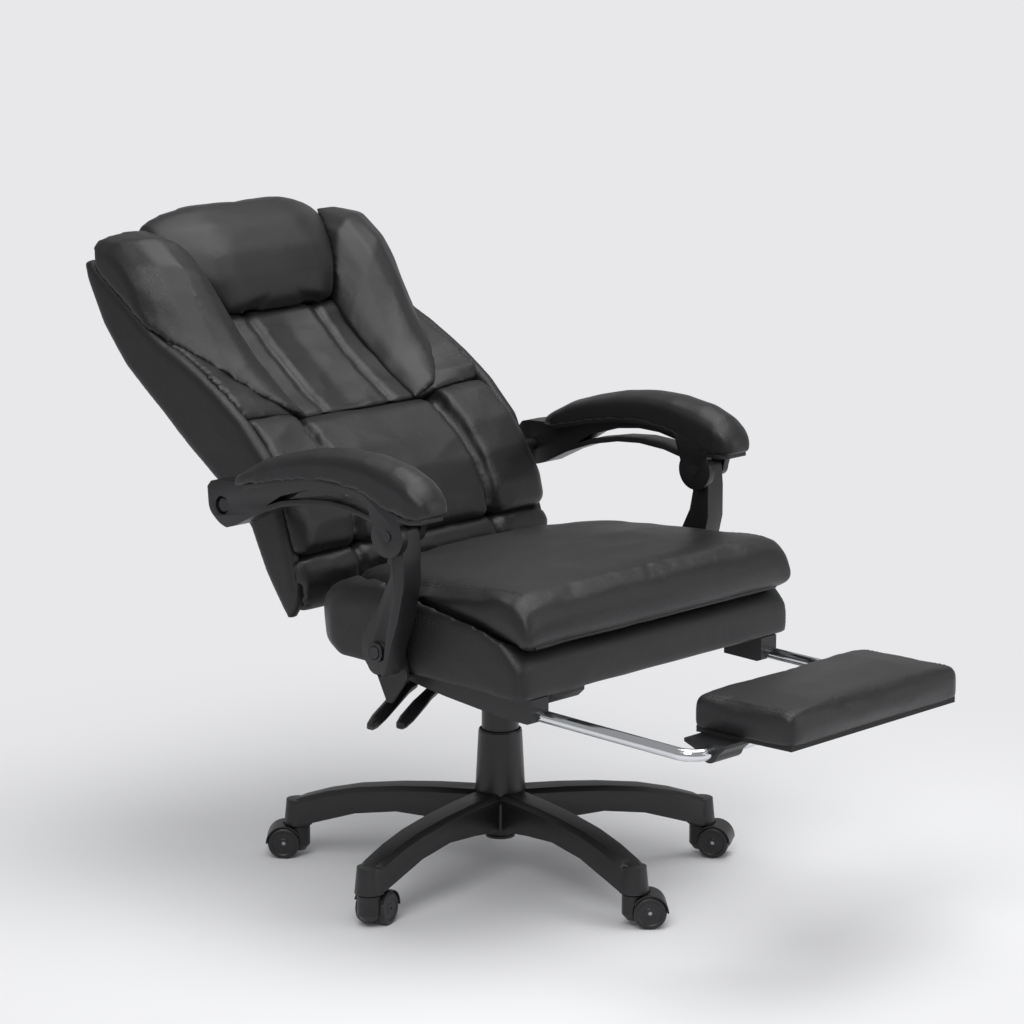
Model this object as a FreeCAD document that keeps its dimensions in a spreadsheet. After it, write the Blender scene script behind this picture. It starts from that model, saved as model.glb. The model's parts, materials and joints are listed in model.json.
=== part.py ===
import FreeCAD, Part
import Sketcher
import math
import os
from FreeCAD import Placement, Rotation, Vector

# Reclining office chair with a pull-out footrest, in millimetres.
# The origin is on the floor under the gas column, +Z is up, the chair faces -Y
# and the sitter's right hand, with both levers, is on -X.

doc = FreeCAD.newDocument("RecliningChair")
sheet = doc.addObject("Spreadsheet::Sheet", "Dims")

DIMENSIONS = [
    ("stemCircle", 328.0, "caster stems from the column axis"),
    ("legCount", 5.0, "legs of the base"),
    ("baseTurn", -29.0, "heading of the first leg, degrees"),
    ("hubRadius", 45.0, "hub of the base"),
    ("hubBottom", 77.0, "underside of the hub"),
    ("hubTop", 121.0, "top of the hub"),
    ("bossRadius", 22.0, "end boss round a caster stem"),
    ("bossBottom", 51.0, "underside of the end boss"),
    ("bossHeight", 40.0, "height of the end boss"),
    ("wheelRadius", 24.5, "caster wheel"),
    ("wheelTrail", 22.0, "wheel axle behind the stem"),
    ("stemRadius", 5.5, "steel caster stem"),
    ("axleRadius", 3.0, "caster axle"),
    ("tubeRadius", 25.0, "outer tube of the gas column"),
    ("tubeTop", 223.0, "top of the outer tube"),
    ("pistonRadius", 14.0, "piston rod of the gas column"),
    ("fitGap", 0.1, "radial gap of a running fit"),
    ("seatFront", -316.0, "front face of the seat box"),
    ("seatUnder", 376.0, "underside of the seat box at its front"),
    ("seatPitch", 0.0384, "rise of the seat underside per millimetre"),
    ("seatHalf", 302.0, "half width of the seat box"),
    ("plateThick", 4.0, "steel seat plate"),
    ("mechHalf", 36.0, "half width of the tilt housing"),
    ("railHalf", 257.0, "footrest rails from the middle"),
    ("railRadius", 9.0, "footrest rail tube"),
    ("railDrop", 24.6, "rail axis under the seat underside"),
    ("railBend", 28.0, "bend radius of the footrest bar"),
    ("barFront", -592.0, "cross bar of the footrest"),
    ("padHalf", 193.0, "half width of the footrest pad"),
    ("padFront", -712.0, "front of the footrest pad"),
    ("padRear", -533.0, "rear of the footrest pad"),
    ("padUnder", 355.0, "underside of the footrest pad"),
    ("padThick", 59.0, "height of the footrest pad"),
    ("hingeBack", 172.0, "recline hinge, from the column axis"),
    ("hingeHeight", 437.0, "recline hinge, from the floor"),
    ("knuckleY", -123.0, "arm knuckle, from the column axis"),
    ("knuckleZ", 599.0, "arm knuckle, from the floor"),
    ("knuckleDisc", 30.75, "disc of the arm knuckle"),
    ("footPivotY", -80.0, "lower pivot of the arm post"),
    ("footPivotZ", 422.0, "lower pivot of the arm post"),
    ("rearBoltY", 223.0, "rear bolt of the arm"),
    ("rearBoltZ", 596.0, "rear bolt of the arm"),
    ("armInner", 320.0, "inner face of the arm"),
    ("armOuter", 360.0, "outer face of the arm"),
    ("postInner", 318.4, "inner face of the arm post"),
    ("postOuter", 355.0, "outer face of the arm post"),
    ("armPadInner", 303.0, "inner side of the arm pad"),
    ("armPadOuter", 372.0, "outer side of the arm pad"),
    ("backHalf", 279.0, "half width of the back"),
    ("shellHalf", 256.0, "half width of the back without its side panels"),
]

for row, (alias, value, note) in enumerate(DIMENSIONS, start=1):
    sheet.set("A%d" % row, note)
    sheet.set("B%d" % row, str(value))
    sheet.setAlias("B%d" % row, alias)
doc.recompute()

SIZE = {alias: float(sheet.get(alias)) for alias, value, note in DIMENSIONS}
NODES = {}


def under(y):
    """Height of the sloping seat underside at y."""
    return SIZE["seatUnder"] + SIZE["seatPitch"] * (y - SIZE["seatFront"])


def newBody(label):
    body = doc.addObject("PartDesign::Body", label)
    body.Label = label
    return body


def originPlane(body, role):
    for feature in body.Origin.OriginFeatures:
        if feature.Role == role:
            return feature
    raise RuntimeError("no origin plane " + role)


def addSketch(body, role, offset=0.0, expression=None):
    sketch = body.newObject("Sketcher::SketchObject", body.Name + "_sketch")
    sketch.AttachmentSupport = [(originPlane(body, role), "")]
    sketch.MapMode = "FlatFace"
    sketch.AttachmentOffset = Placement(Vector(0, 0, offset), Rotation())
    if expression:
        sketch.setExpression("AttachmentOffset.Base.z", expression)
    return sketch


def drawLoop(sketch, path):
    """Closed loop: (x, y) is a corner, (x, y, mx, my) an arc there through m."""
    here = Vector(path[-1][0], path[-1][1], 0)
    for step in path:
        there = Vector(step[0], step[1], 0)
        if here.isEqual(there, 1e-6):
            continue
        if len(step) == 4:
            sketch.addGeometry(Part.Arc(here, Vector(step[2], step[3], 0), there))
        else:
            sketch.addGeometry(Part.LineSegment(here, there))
        here = there


def drawCircle(sketch, x, y, radius, expression=None):
    index = sketch.addGeometry(Part.Circle(Vector(x, y, 0), Vector(0, 0, 1), radius))
    if expression:
        constraint = sketch.addConstraint(Sketcher.Constraint("Radius", index, radius))
        sketch.setExpression("Constraints[%d]" % constraint, expression)
    return index


def addFeature(body, kind, sketch, length=None, symmetric=False, backwards=False):
    feature = body.newObject("PartDesign::" + kind, body.Name + "_" + kind)
    feature.Profile = sketch
    if symmetric:
        feature.SideType = "Symmetric"
    feature.Reversed = backwards
    if isinstance(length, str):
        feature.setExpression("Length", length)
    elif length is not None:
        feature.Length = length
    sketch.Visibility = False
    return feature


def plate(label, path, low, high, thickness=None, role="YZ_Plane", rounding=0.0, holes=()):
    """Outline padded from low to high along X (or along Z, or Y, by its plane)."""
    body = newBody(label)
    sketch = addSketch(body, role, low)
    drawLoop(sketch, path)
    for hole in holes:
        drawCircle(sketch, *hole)
    addFeature(body, "Pad", sketch, thickness if thickness else high - low)
    doc.recompute()
    if rounding > 0:
        fillet = body.newObject("PartDesign::Fillet", label + "_fillet")
        fillet.Base = (body.Tip, [""])
        fillet.UseAllEdges = True
        fillet.Radius = rounding
        doc.recompute()
        if "Invalid" in fillet.State or fillet.Shape.isNull() or not fillet.Shape.isValid():
            body.removeObject(fillet)
            doc.removeObject(fillet.Name)
            print("no rounding on", label)
    return body


def turned(label, path, axis=None):
    """Profile (radius, height) turned about the body's Z axis."""
    body = newBody(label)
    sketch = addSketch(body, "XZ_Plane")
    drawLoop(sketch, path)
    feature = body.newObject("PartDesign::Revolution", label + "_turn")
    feature.Profile = sketch
    feature.ReferenceAxis = (sketch, ["V_Axis"])
    feature.Angle = 360
    return body


def lofted(label, sections, role="YZ_Plane", ruled=False):
    """Loft through closed loops, each (offset, path) with as many corners."""
    body = newBody(label)
    sketches = []
    for offset, path in sections:
        sketch = addSketch(body, role, offset)
        drawLoop(sketch, path)
        sketch.Visibility = False
        sketches.append(sketch)
    loft = body.newObject("PartDesign::AdditiveLoft", label + "_loft")
    loft.Profile = sketches[0]
    loft.Sections = sketches[1:]
    loft.Ruled = ruled
    return body


def cylinder(label, radius, length, start, direction):
    """Rod from start along direction; radius and length may be expressions."""
    rod = doc.addObject("Part::Cylinder", label)
    for prop, value in (("Radius", radius), ("Height", length)):
        if isinstance(value, str):
            rod.setExpression(prop, value)
        else:
            setattr(rod, prop, value)
    rod.Placement = Placement(Vector(*start), Rotation(Vector(0, 0, 1), Vector(*direction)))
    return rod


def block(label, low, high):
    box = doc.addObject("Part::Box", label)
    box.Length = high[0] - low[0]
    box.Width = high[1] - low[1]
    box.Height = high[2] - low[2]
    box.Placement = Placement(Vector(*low), Rotation())
    return box


def cut(label, base, tool):
    result = doc.addObject("Part::Cut", label)
    result.Base = base
    result.Tool = tool
    return result


def fuse(label, pieces):
    result = doc.addObject("Part::MultiFuse", label)
    result.Shapes = pieces
    return result


def node(name, feature):
    feature.Label = name
    NODES[name] = feature
    return feature


# Five-star base

LEG_STATIONS = [
    # distance, half width, top, underside
    (30.0, 25.0, 135.0, 78.0),
    (100.0, 24.0, 133.0, 86.0),
    (160.0, 23.2, 129.0, 90.0),
    (227.0, 22.3, 121.0, 81.0),
    (277.0, 21.5, 110.0, 66.0),
    (318.0, 21.0, 97.0, 53.0),
    (341.0, 13.0, 85.0, 52.0),
]
LEG_WALL = 4.0
CHAMFER = 7.0


def legSection(half, top, bottom):
    return [
        (-half, bottom),
        (half, bottom),
        (half, top - CHAMFER),
        (half - CHAMFER, top),
        (CHAMFER - half, top),
        (-half, top - CHAMFER),
    ]


def hollowSection(half, top, bottom):
    inner = half - LEG_WALL
    return [
        (-inner, bottom),
        (inner, bottom),
        (inner, top - LEG_WALL - CHAMFER),
        (inner - CHAMFER, top - LEG_WALL),
        (CHAMFER - inner, top - LEG_WALL),
        (-inner, top - LEG_WALL - CHAMFER),
    ]


def loftThrough(body, kind, name, sections):
    sketches = []
    for distance, path in sections:
        sketch = addSketch(body, "YZ_Plane", distance)
        drawLoop(sketch, path)
        sketches.append(sketch)
    loft = body.newObject("PartDesign::" + kind, name)
    loft.Profile = sketches[0]
    loft.Sections = sketches[1:]
    loft.Ruled = True
    return loft


base = newBody("star_base")
leg = loftThrough(base, "AdditiveLoft", "leg", [
    (distance, legSection(half, top, bottom)) for distance, half, top, bottom in LEG_STATIONS])
bossSketch = addSketch(base, "XY_Plane", SIZE["bossBottom"], "Dims.bossBottom")
drawCircle(bossSketch, SIZE["stemCircle"], 0, SIZE["bossRadius"], "Dims.bossRadius")
boss = addFeature(base, "Pad", bossSketch, "Dims.bossHeight")
boss.TaperAngle = -5.5
doc.recompute()
hollowSections = [
    (max(distance, 52.0), hollowSection(half, top, bottom - 30.0))
    for distance, half, top, bottom in LEG_STATIONS[:5]]
hollow = loftThrough(base, "SubtractiveLoft", "hollow", hollowSections + [(302.0, hollowSection(21.2, 102.0, 25.0))])
legPattern = base.newObject("PartDesign::PolarPattern", "legs")
legPattern.Originals = [leg, boss, hollow]
legPattern.Axis = (originPlane(base, "Z_Axis"), [""])
legPattern.Angle = 360
legPattern.setExpression("Occurrences", "Dims.legCount")
base.Tip = legPattern
doc.recompute()

hubSketch = addSketch(base, "XY_Plane", SIZE["hubBottom"], "Dims.hubBottom")
drawCircle(hubSketch, 0, 0, SIZE["hubRadius"], "Dims.hubRadius")
addFeature(base, "Pad", hubSketch, "Dims.hubTop - Dims.hubBottom")
for low, radius, length in ((62.0, 19.0, 20.0), (60.0, 22.5, 4.0)):
    collarSketch = addSketch(base, "XY_Plane", low)
    drawCircle(collarSketch, 0, 0, radius)
    base.Tip = addFeature(base, "Pad", collarSketch, length)
doc.recompute()
for low, radius, length in ((50.0, 14.0, 60.0), (82.0, SIZE["tubeRadius"], 60.0), (SIZE["hubTop"], 38.2, 30.0)):
    boreSketch = addSketch(base, "XY_Plane", low)
    drawCircle(boreSketch, 0, 0, radius)
    base.Tip = addFeature(base, "Pocket", boreSketch, length, backwards=True)
doc.recompute()

heading = SIZE["baseTurn"]
LEG_ANGLES = [heading + 72.0 * index for index in range(int(SIZE["legCount"]))]
base.Placement = Placement(Vector(0, 0, 0), Rotation(Vector(0, 0, 1), heading))
doc.recompute()

sockets = []
for index, angle in enumerate(LEG_ANGLES):
    turn = math.radians(angle)
    x = SIZE["stemCircle"] * math.cos(turn)
    y = SIZE["stemCircle"] * math.sin(turn)
    sockets.append(cylinder("stemSocket%d" % index, "Dims.stemRadius + Dims.fitGap / 2", 34.0,
                            (x, y, SIZE["bossBottom"] - 1), (0, 0, 1)))
node("star_base", cut("starBase", base, fuse("stemSockets", sockets)))

# Casters: a hooded twin wheel on a steel stem, five times

CASTER_HEADINGS = [-60.0, 40.0, 132.0, 15.5, -45.0]
HOUSING_TOP = 48.2


def caster(index, angle, turnTo):
    turn = math.radians(angle)
    place = Placement(
        Vector(SIZE["stemCircle"] * math.cos(turn), SIZE["stemCircle"] * math.sin(turn), 0),
        Rotation(Vector(0, 0, 1), turnTo),
    )
    tag = "_%d" % (index + 1)
    axleX = SIZE["wheelTrail"]
    axleZ = SIZE["wheelRadius"]

    def ring(radius, degrees):
        return (axleX + radius * math.cos(math.radians(degrees)), axleZ + radius * math.sin(math.radians(degrees)))

    # The hood: a stem housing, a web between the wheels and a rim over them.
    hood = newBody("caster_hood" + tag)
    housing = addSketch(hood, "XZ_Plane")
    drawLoop(housing, [(0.0, 10.0), (11.0, 10.0), (18.0, 19.0), (18.0, HOUSING_TOP), (0.0, HOUSING_TOP)])
    spun = hood.newObject("PartDesign::Revolution", hood.Name + "_turn")
    spun.Profile = housing
    spun.ReferenceAxis = (housing, ["V_Axis"])
    spun.Angle = 360
    web = addSketch(hood, "XZ_Plane", -9.4)
    drawLoop(web, [(0.0, 14.0), (32.0, 12.0), ring(26.5, -8.0), ring(26.5, 108.0) + ring(26.5, 50.0),
                   (0.0, HOUSING_TOP)])
    addFeature(hood, "Pad", web, 18.8)
    rim = addSketch(hood, "XZ_Plane", -24.5)
    drawLoop(rim, [ring(27.5, 0.0), ring(27.5, 150.0) + ring(27.5, 75.0),
                   ring(25.5, 150.0), ring(25.5, 0.0) + ring(25.5, 75.0)])
    addFeature(hood, "Pad", rim, 49.0)
    doc.recompute()
    for side in (1, -1):
        wheelRoom = addSketch(hood, "XZ_Plane", 9.4 * side)
        drawCircle(wheelRoom, axleX, axleZ, 25.5)
        addFeature(hood, "Pocket", wheelRoom, 60.0, backwards=side > 0)
    bossRoom = addSketch(hood, "XY_Plane", HOUSING_TOP)
    drawCircle(bossRoom, 0, 0, 23.6)
    addFeature(hood, "Pocket", bossRoom, 20.0, backwards=True)
    axleHole = addSketch(hood, "XZ_Plane", -12.0)
    drawCircle(axleHole, axleX, axleZ, SIZE["axleRadius"], "Dims.axleRadius")
    addFeature(hood, "Pocket", axleHole, 24.0, backwards=True)
    stemHole = addSketch(hood, "XY_Plane", 28.0)
    drawCircle(stemHole, 0, 0, SIZE["stemRadius"], "Dims.stemRadius")
    addFeature(hood, "Pocket", stemHole, 60.0, backwards=True)
    hood.Placement = place
    node("caster_hood" + tag, hood)

    # The steel stem and the axle belong to the swivelling part.
    stem = turned("stem" + tag, [
        (0.0, 28.0), (5.5, 28.0), (5.5, HOUSING_TOP), (9.0, HOUSING_TOP), (9.0, 50.7), (5.5, 50.7), (5.5, 81.0),
        (4.0, 83.0), (0.0, 83.0)])
    stem.Placement = place
    axle = newBody("axle" + tag)
    axleSketch = addSketch(axle, "XZ_Plane", -22.0)
    drawCircle(axleSketch, axleX, axleZ, SIZE["axleRadius"], "Dims.axleRadius")
    addFeature(axle, "Pad", axleSketch, 44.0)
    axle.Placement = place
    metal = doc.addObject("Part::Compound", "metal" + tag)
    metal.Links = [stem, axle]
    node("caster_stem" + tag, metal)

    # Twin wheels with a dished face and a rounded tread.
    wheels = []
    for sign in (1, -1):
        wheel = newBody("wheel" + tag + ("a" if sign > 0 else "b"))
        profile = addSketch(wheel, "XY_Plane", 0.0)
        drawLoop(profile, [(3.1, 10.0), (22.7, 10.0), (24.5, 11.8), (24.5, 20.6), (23.5, 23.0), (21.2, 24.0),
                           (18.5, 24.0), (17.0, 22.9), (8.0, 22.9), (7.0, 23.6), (3.1, 23.6)])
        spin = wheel.newObject("PartDesign::Revolution", wheel.Name + "_turn")
        spin.Profile = profile
        spin.ReferenceAxis = (profile, ["V_Axis"])
        spin.Angle = 360
        wheel.Placement = place.multiply(Placement(Vector(axleX, 0, axleZ),
                                                   Rotation(Vector(0, 0, 1), 0 if sign > 0 else 180)))
        wheels.append(wheel)
    pair = doc.addObject("Part::Compound", "wheels" + tag)
    pair.Links = wheels
    node("caster_wheels" + tag, pair)


for index, angle in enumerate(LEG_ANGLES):
    caster(index, angle, CASTER_HEADINGS[index])

# Gas column and its telescoping covers

node("column_tube", turned("column_tube", [
    (0.0, 62.0), (14.0, 62.0), (14.0, 82.0), (25.0, 82.0), (25.0, 221.0), (23.0, 223.0), (14.1, 223.0),
    (14.1, 90.0), (0.0, 90.0)]))
node("column_piston", turned("column_piston", [
    (0.0, 142.0), (14.0, 142.0), (14.0, 285.0), (13.0, 321.0), (11.0, 323.0), (0.0, 323.0)]))
node("cover_lower", turned("cover_lower", [
    (35.4, 121.0), (38.0, 121.0), (38.0, 135.0), (33.2, 226.0), (32.2, 229.0), (30.9, 229.0), (30.9, 221.0),
    (35.4, 135.0)]))
node("cover_middle", turned("cover_middle", [
    (28.7, 150.0), (30.5, 150.0), (30.5, 224.0), (29.8, 226.0), (28.7, 226.0)]))
node("cover_upper", turned("cover_upper", [
    (26.2, 175.0), (28.2, 175.0), (28.2, 274.0), (26.2, 276.5), (14.0, 276.5), (14.0, 273.5), (26.2, 273.5)]))

# Tilt mechanism under the seat

plateZ = SIZE["plateThick"]
housing = plate("mechanism", [
    (-76.0, 276.5), (60.0, 276.5), (92.0, 311.0), (92.0, under(92.0) - plateZ),
    (-140.0, under(-140.0) - plateZ), (-138.0, 306.0), (-126.0, 295.0)],
    -SIZE["mechHalf"], SIZE["mechHalf"], "2 * Dims.mechHalf")
doc.recompute()
socketTool = cylinder("pistonSocket", "Dims.pistonRadius + Dims.fitGap", 60.0, (0, 0, 263.3), (0, 0, 1))
leverSlots = [
    block("leverSlotLift", (-37.0, -22.0, 324.0), (-17.0, -4.0, 353.0)),
    block("leverSlotLock", (-37.0, -64.0, 322.0), (-17.0, -46.0, 351.0)),
]
housingCut = cut("housingCut", housing, fuse("mechanismCuts", [socketTool] + leverSlots))
leverPins = [
    cylinder("leverPinLift", 3.0, 18.0, (-28.0, -22.0, 339.0), (0, 1, 0)),
    cylinder("leverPinLock", 3.0, 18.0, (-28.0, -64.0, 336.0), (0, 1, 0)),
]
node("mechanism_housing", fuse("mechanismHousing", [housingCut] + leverPins))

seatPlate = plate("seat_plate", [
    (-170.0, under(-170.0) - plateZ), (118.0, under(118.0) - plateZ),
    (118.0, under(118.0)), (-170.0, under(-170.0))], -118.0, 118.0)
node("seat_plate", seatPlate)

# Levers: a rod out of the housing and a flat paddle


def paddleSection(y, z, halfWide, halfThick):
    return [
        (y - halfWide, z - halfThick * 0.4), (y - halfWide * 0.7, z - halfThick),
        (y + halfWide * 0.7, z - halfThick), (y + halfWide, z - halfThick * 0.4),
        (y + halfWide, z + halfThick * 0.4), (y + halfWide * 0.7, z + halfThick),
        (y - halfWide * 0.7, z + halfThick), (y - halfWide, z + halfThick * 0.4),
    ]


def lever(name, rodY, rodZ, neck, tip):
    rod = cylinder(name + "_rod", 4.5, 177.0, (-206.0, rodY, rodZ), (1, 0, 0))
    hub = cylinder(name + "_hub", 7.0, 14.0, (-28.0, rodY - 7.0, rodZ), (0, 1, 0))
    hubBore = cylinder(name + "_bore", 3.05, 20.0, (-28.0, rodY - 10.0, rodZ), (0, 1, 0))
    sections = []
    for share, halfWide, halfThick in ((0.0, 7.0, 7.0), (0.18, 9.5, 6.5), (0.45, 13.5, 5.0),
                                       (0.8, 14.0, 4.2), (0.95, 11.0, 3.6), (1.0, 7.0, 2.4)):
        x = neck[0] + (tip[0] - neck[0]) * share
        y = neck[1] + (tip[1] - neck[1]) * share
        drop = share ** 1.3
        z = neck[2] + (tip[2] - neck[2]) * drop
        sections.append((x, paddleSection(y, z, halfWide, halfThick)))
    sections.reverse()
    paddle = lofted(name + "_paddle", sections, ruled=True)
    return node(name, cut(name + "Lever", fuse(name + "Whole", [rod, hub, paddle]), hubBore))


lever("lift_lever", -13.0, 339.0, (-200.0, -13.0, 339.0), (-301.0, -20.0, 290.0))
lever("recline_lever", -55.0, 336.0, (-200.0, -55.0, 336.0), (-291.0, -70.0, 298.0))

# Seat: a box, its base board and the cushion

BOX_SECTIONS = {
    0.0: [(-316, 376), (-316, 425), (-306, 436), (-277, 455), (-239, 475), (-128, 497), (-27, 505), (45, 501),
          (92, 485), (110, 465), (108, 405), (72, 391)],
    246.0: [(-316, 376), (-316, 425), (-306, 436), (-277, 457), (-239, 477), (-128, 500), (-27, 508), (42, 503),
            (88, 486), (109, 465), (106, 405), (70, 391)],
    272.0: [(-316, 376), (-316, 425), (-306, 436), (-277, 459), (-239, 479), (-128, 503), (-27, 507), (40, 501),
            (83, 484), (102, 464), (97, 405), (64, 390)],
    290.0: [(-316, 376), (-315, 422), (-304, 435), (-277, 460), (-239, 478), (-128, 500), (-27, 499), (38, 493),
            (72, 480), (84, 463), (79, 405), (54, 390)],
    299.0: [(-312, 376), (-311, 415), (-301, 431), (-277, 455), (-239, 474), (-128, 491), (-27, 487), (34, 481),
            (58, 472), (67, 459), (63, 406), (44, 389)],
    302.0: [(-308, 376), (-307, 409), (-298, 426), (-277, 448), (-239, 469), (-128, 482), (-27, 476), (30, 472),
            (50, 466), (57, 455), (54, 408), (36, 389)],
}


def mirroredSections(table):
    sections = []
    for offset in sorted(table, reverse=True):
        if offset > 0:
            sections.append((-offset, table[offset]))
    for offset in sorted(table):
        sections.append((offset, table[offset]))
    return sections


def sitOnUnderside(table):
    fixed = {}
    for offset, path in table.items():
        path = list(path)
        path[0] = (path[0][0], under(path[0][0]))
        path[-1] = (path[-1][0], under(path[-1][0]))
        fixed[offset] = path
    return fixed


boxRaw = lofted("seat_box_block", mirroredSections(sitOnUnderside(BOX_SECTIONS)), ruled=True)

CUSHION_SECTIONS = {
    0.0: [(-290, 443), (-320, 446), (-334, 459), (-336, 487), (-325, 512), (-300, 525), (-240, 528), (-120, 526),
          (0, 521), (66, 512), (98, 485), (101, 447), (-120, 443)],
    150.0: [(-290, 443), (-320, 446), (-334, 459), (-336, 487), (-325, 512), (-300, 525), (-240, 528), (-120, 525),
            (0, 518), (64, 508), (96, 483), (99, 447), (-120, 443)],
    238.0: [(-290, 443), (-320, 446), (-334, 459), (-336, 487), (-325, 512), (-300, 524), (-240, 526), (-120, 521),
            (0, 513), (60, 503), (90, 479), (93, 447), (-120, 443)],
    258.0: [(-290, 443), (-320, 446), (-334, 459), (-335, 487), (-325, 511), (-300, 524), (-245, 524), (-130, 518),
            (-40, 513), (0, 510), (36, 501), (40, 465), (-120, 445)],
    286.0: [(-287, 451), (-318, 446), (-333, 457), (-334, 481), (-324, 506), (-301, 521), (-250, 519), (-160, 511),
            (-110, 509), (-80, 508), (-66, 504), (-64, 490), (-140, 473)],
    299.0: [(-281, 459), (-315, 446), (-331, 455), (-333, 471), (-323, 495), (-302, 514), (-270, 521), (-215, 511),
            (-160, 507), (-125, 506), (-112, 504), (-110, 501), (-185, 488)],
    304.0: [(-278, 467), (-309, 451), (-325, 456), (-329, 467), (-319, 488), (-301, 505), (-272, 513), (-215, 504),
            (-160, 503), (-128, 503), (-118, 502), (-117, 500), (-187, 493)],
}
cushion = lofted("seat_cushion", mirroredSections(CUSHION_SECTIONS), ruled=True)
node("seat_cushion", cushion)

boardPath = [(-298.0, under(-298.0)), (48.0, under(48.0)), (48.0, under(48.0) + 12.0), (-298.0, under(-298.0) + 12.0)]
node("seat_board", plate("seat_board", boardPath, -286.0, 286.0))

hingeY = SIZE["hingeBack"]
hingeZ = SIZE["hingeHeight"]
boxTools = fuse("boxTools", [cushion, seatPlate])
boxCut = cut("seatBoxCushion", boxRaw, cushion)
node("seat_box", cut("seatBox", boxCut, NODES["seat_board"]))

# Hinge brackets: a lug each side rising behind the seat to the recline pins


def lugPath():
    return [
        (40.0, under(40.0) - plateZ - 26.0), (118.0, under(118.0) - plateZ - 14.0), (166.0, 409.0),
        (186.0, 437.0, 186.0, 419.0), (172.0, 451.0, 182.0, 447.0), (158.0, 437.0, 162.0, 447.0),
        (150.0, 423.0), (118.5, under(118.5) + 4.0), (118.5, under(118.5) - plateZ), (40.0, under(40.0) - plateZ),
    ]


lugs = []
pins = []
for side in (-1, 1):
    low = 112.0 if side > 0 else -118.0
    lugs.append(plate("hingeLug%s" % ("R" if side > 0 else "L"), lugPath(), low, low + 6.0))
    pins.append(cylinder("recliningPin%d" % side, 6.0, 17.0, (side * 110.0, hingeY, hingeZ), (side, 0, 0)))
lugPinHole = cylinder("lugPinHole", 6.0, 300.0, (-150.0, hingeY, hingeZ), (1, 0, 0))
node("hinge_lugs", cut("hingeLugs", fuse("lugPair", lugs), lugPinHole))
hingePins = doc.addObject("Part::Compound", "hingePins")
hingePins.Links = pins
node("hinge_pin", hingePins)

# Arm brackets: a foot under the seat board and a cheek up to the post pivot

pivotY = SIZE["footPivotY"]
pivotZ = SIZE["footPivotZ"]
brackets = []
for side in (-1, 1):
    cheekLow = 305.0 if side > 0 else -310.0
    footLow = 214.0 if side > 0 else -310.0
    cheek = plate("cheek%d" % side, [
        (-104.0, under(-104.0) - plateZ), (-72.0, 338.0), (-63.0, 338.0), (-40.0, under(-40.0) - plateZ),
        (-40.0, under(-40.0)), (pivotY + 15.0, pivotZ), (pivotY - 15.0, pivotZ, pivotY, pivotZ + 15.0),
        (-104.0, under(-104.0))], cheekLow, cheekLow + 5.0)
    foot = plate("foot%d" % side, [
        (-104.0, under(-104.0) - plateZ), (-40.0, under(-40.0) - plateZ), (-40.0, under(-40.0)), (-104.0, under(-104.0))],
        footLow, footLow + 96.0)
    brackets.append(fuse("bracketWhole%d" % side, [cheek, foot]))
pivotHoles = cylinder("pivotHoles", 6.0, 760.0, (-380.0, pivotY, pivotZ), (1, 0, 0))
node("arm_brackets", cut("armBrackets", fuse("bracketPair", brackets), pivotHoles))

bolts = []
for side in (-1, 1):
    turnedBolt = turned("postBolt%d" % side, [
        (0.0, 303.2), (9.0, 303.2), (9.0, 305.0), (6.0, 305.0), (6.0, 310.0), (11.0, 310.0), (11.0, 318.1),
        (5.95, 318.1), (5.95, 349.3), (9.0, 349.3), (9.0, 353.5), (7.5, 354.6), (0.0, 354.6)])
    turnedBolt.Placement = Placement(Vector(0, pivotY, pivotZ), Rotation(Vector(0, 0, 1), Vector(side, 0, 0)))
    bolts.append(turnedBolt)
postBolts = doc.addObject("Part::Compound", "postBolts")
postBolts.Links = bolts
node("post_bolts", postBolts)

# Arm posts, beams, pads and knuckle pins

knY = SIZE["knuckleY"]
knZ = SIZE["knuckleZ"]
boltY = SIZE["rearBoltY"]
boltZ = SIZE["rearBoltZ"]

POST_PATH = [
    (-138.0, knZ), (-140.5, 572.0), (-140.5, 525.0), (-128.0, 473.0), (-113.0, 432.0), (-103.0, 396.0),
    (-96.0, 388.0), (-76.0, 387.0), (-59.0, 398.0, -66.0, 390.0), (-47.0, 430.0, -49.0, 414.0),
    (-56.0, 451.0, -50.0, 442.0), (-82.0, 490.0), (-104.0, 534.0), (-110.0, 563.0), (-109.0, 580.0),
    (-108.0, knZ), (-138.0, knZ, knY, knZ + 15.0),
]

BEAM_TOP = [
    (-182.0, 629.0), (-165.0, 628.0), (-148.0, 630.0), (-128.0, 636.0), (-105.0, 647.0), (-73.0, 658.0),
    (-18.0, 665.0), (39.0, 662.0), (96.0, 652.0), (167.0, 635.0), (231.0, 633.0), (246.0, 630.0),
]
BEAM_REAR = [(254.0, 621.0), (252.0, 596.0), (240.0, 577.0, 248.0, 585.0), (214.0, 564.0, 229.0, 569.0), (197.0, 569.0)]
RIB_UNDER = [(150.0, 592.0), (100.0, 610.0), (45.0, 621.0), (0.0, 624.0), (-50.0, 620.0), (-90.0, 611.0)]
SLOT_PATH = [
    (132.0, 607.0), (100.0, 618.5), (46.0, 628.5), (0.0, 632.0), (-40.0, 629.5), (-76.0, 622.0),
    (-86.0, 627.0), (-78.0, 638.0), (-40.0, 646.0), (0.0, 647.5), (46.0, 642.0), (100.0, 626.0),
]


def armSpan(side, inner, outer):
    return (inner, outer) if side > 0 else (-outer, -inner)


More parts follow.
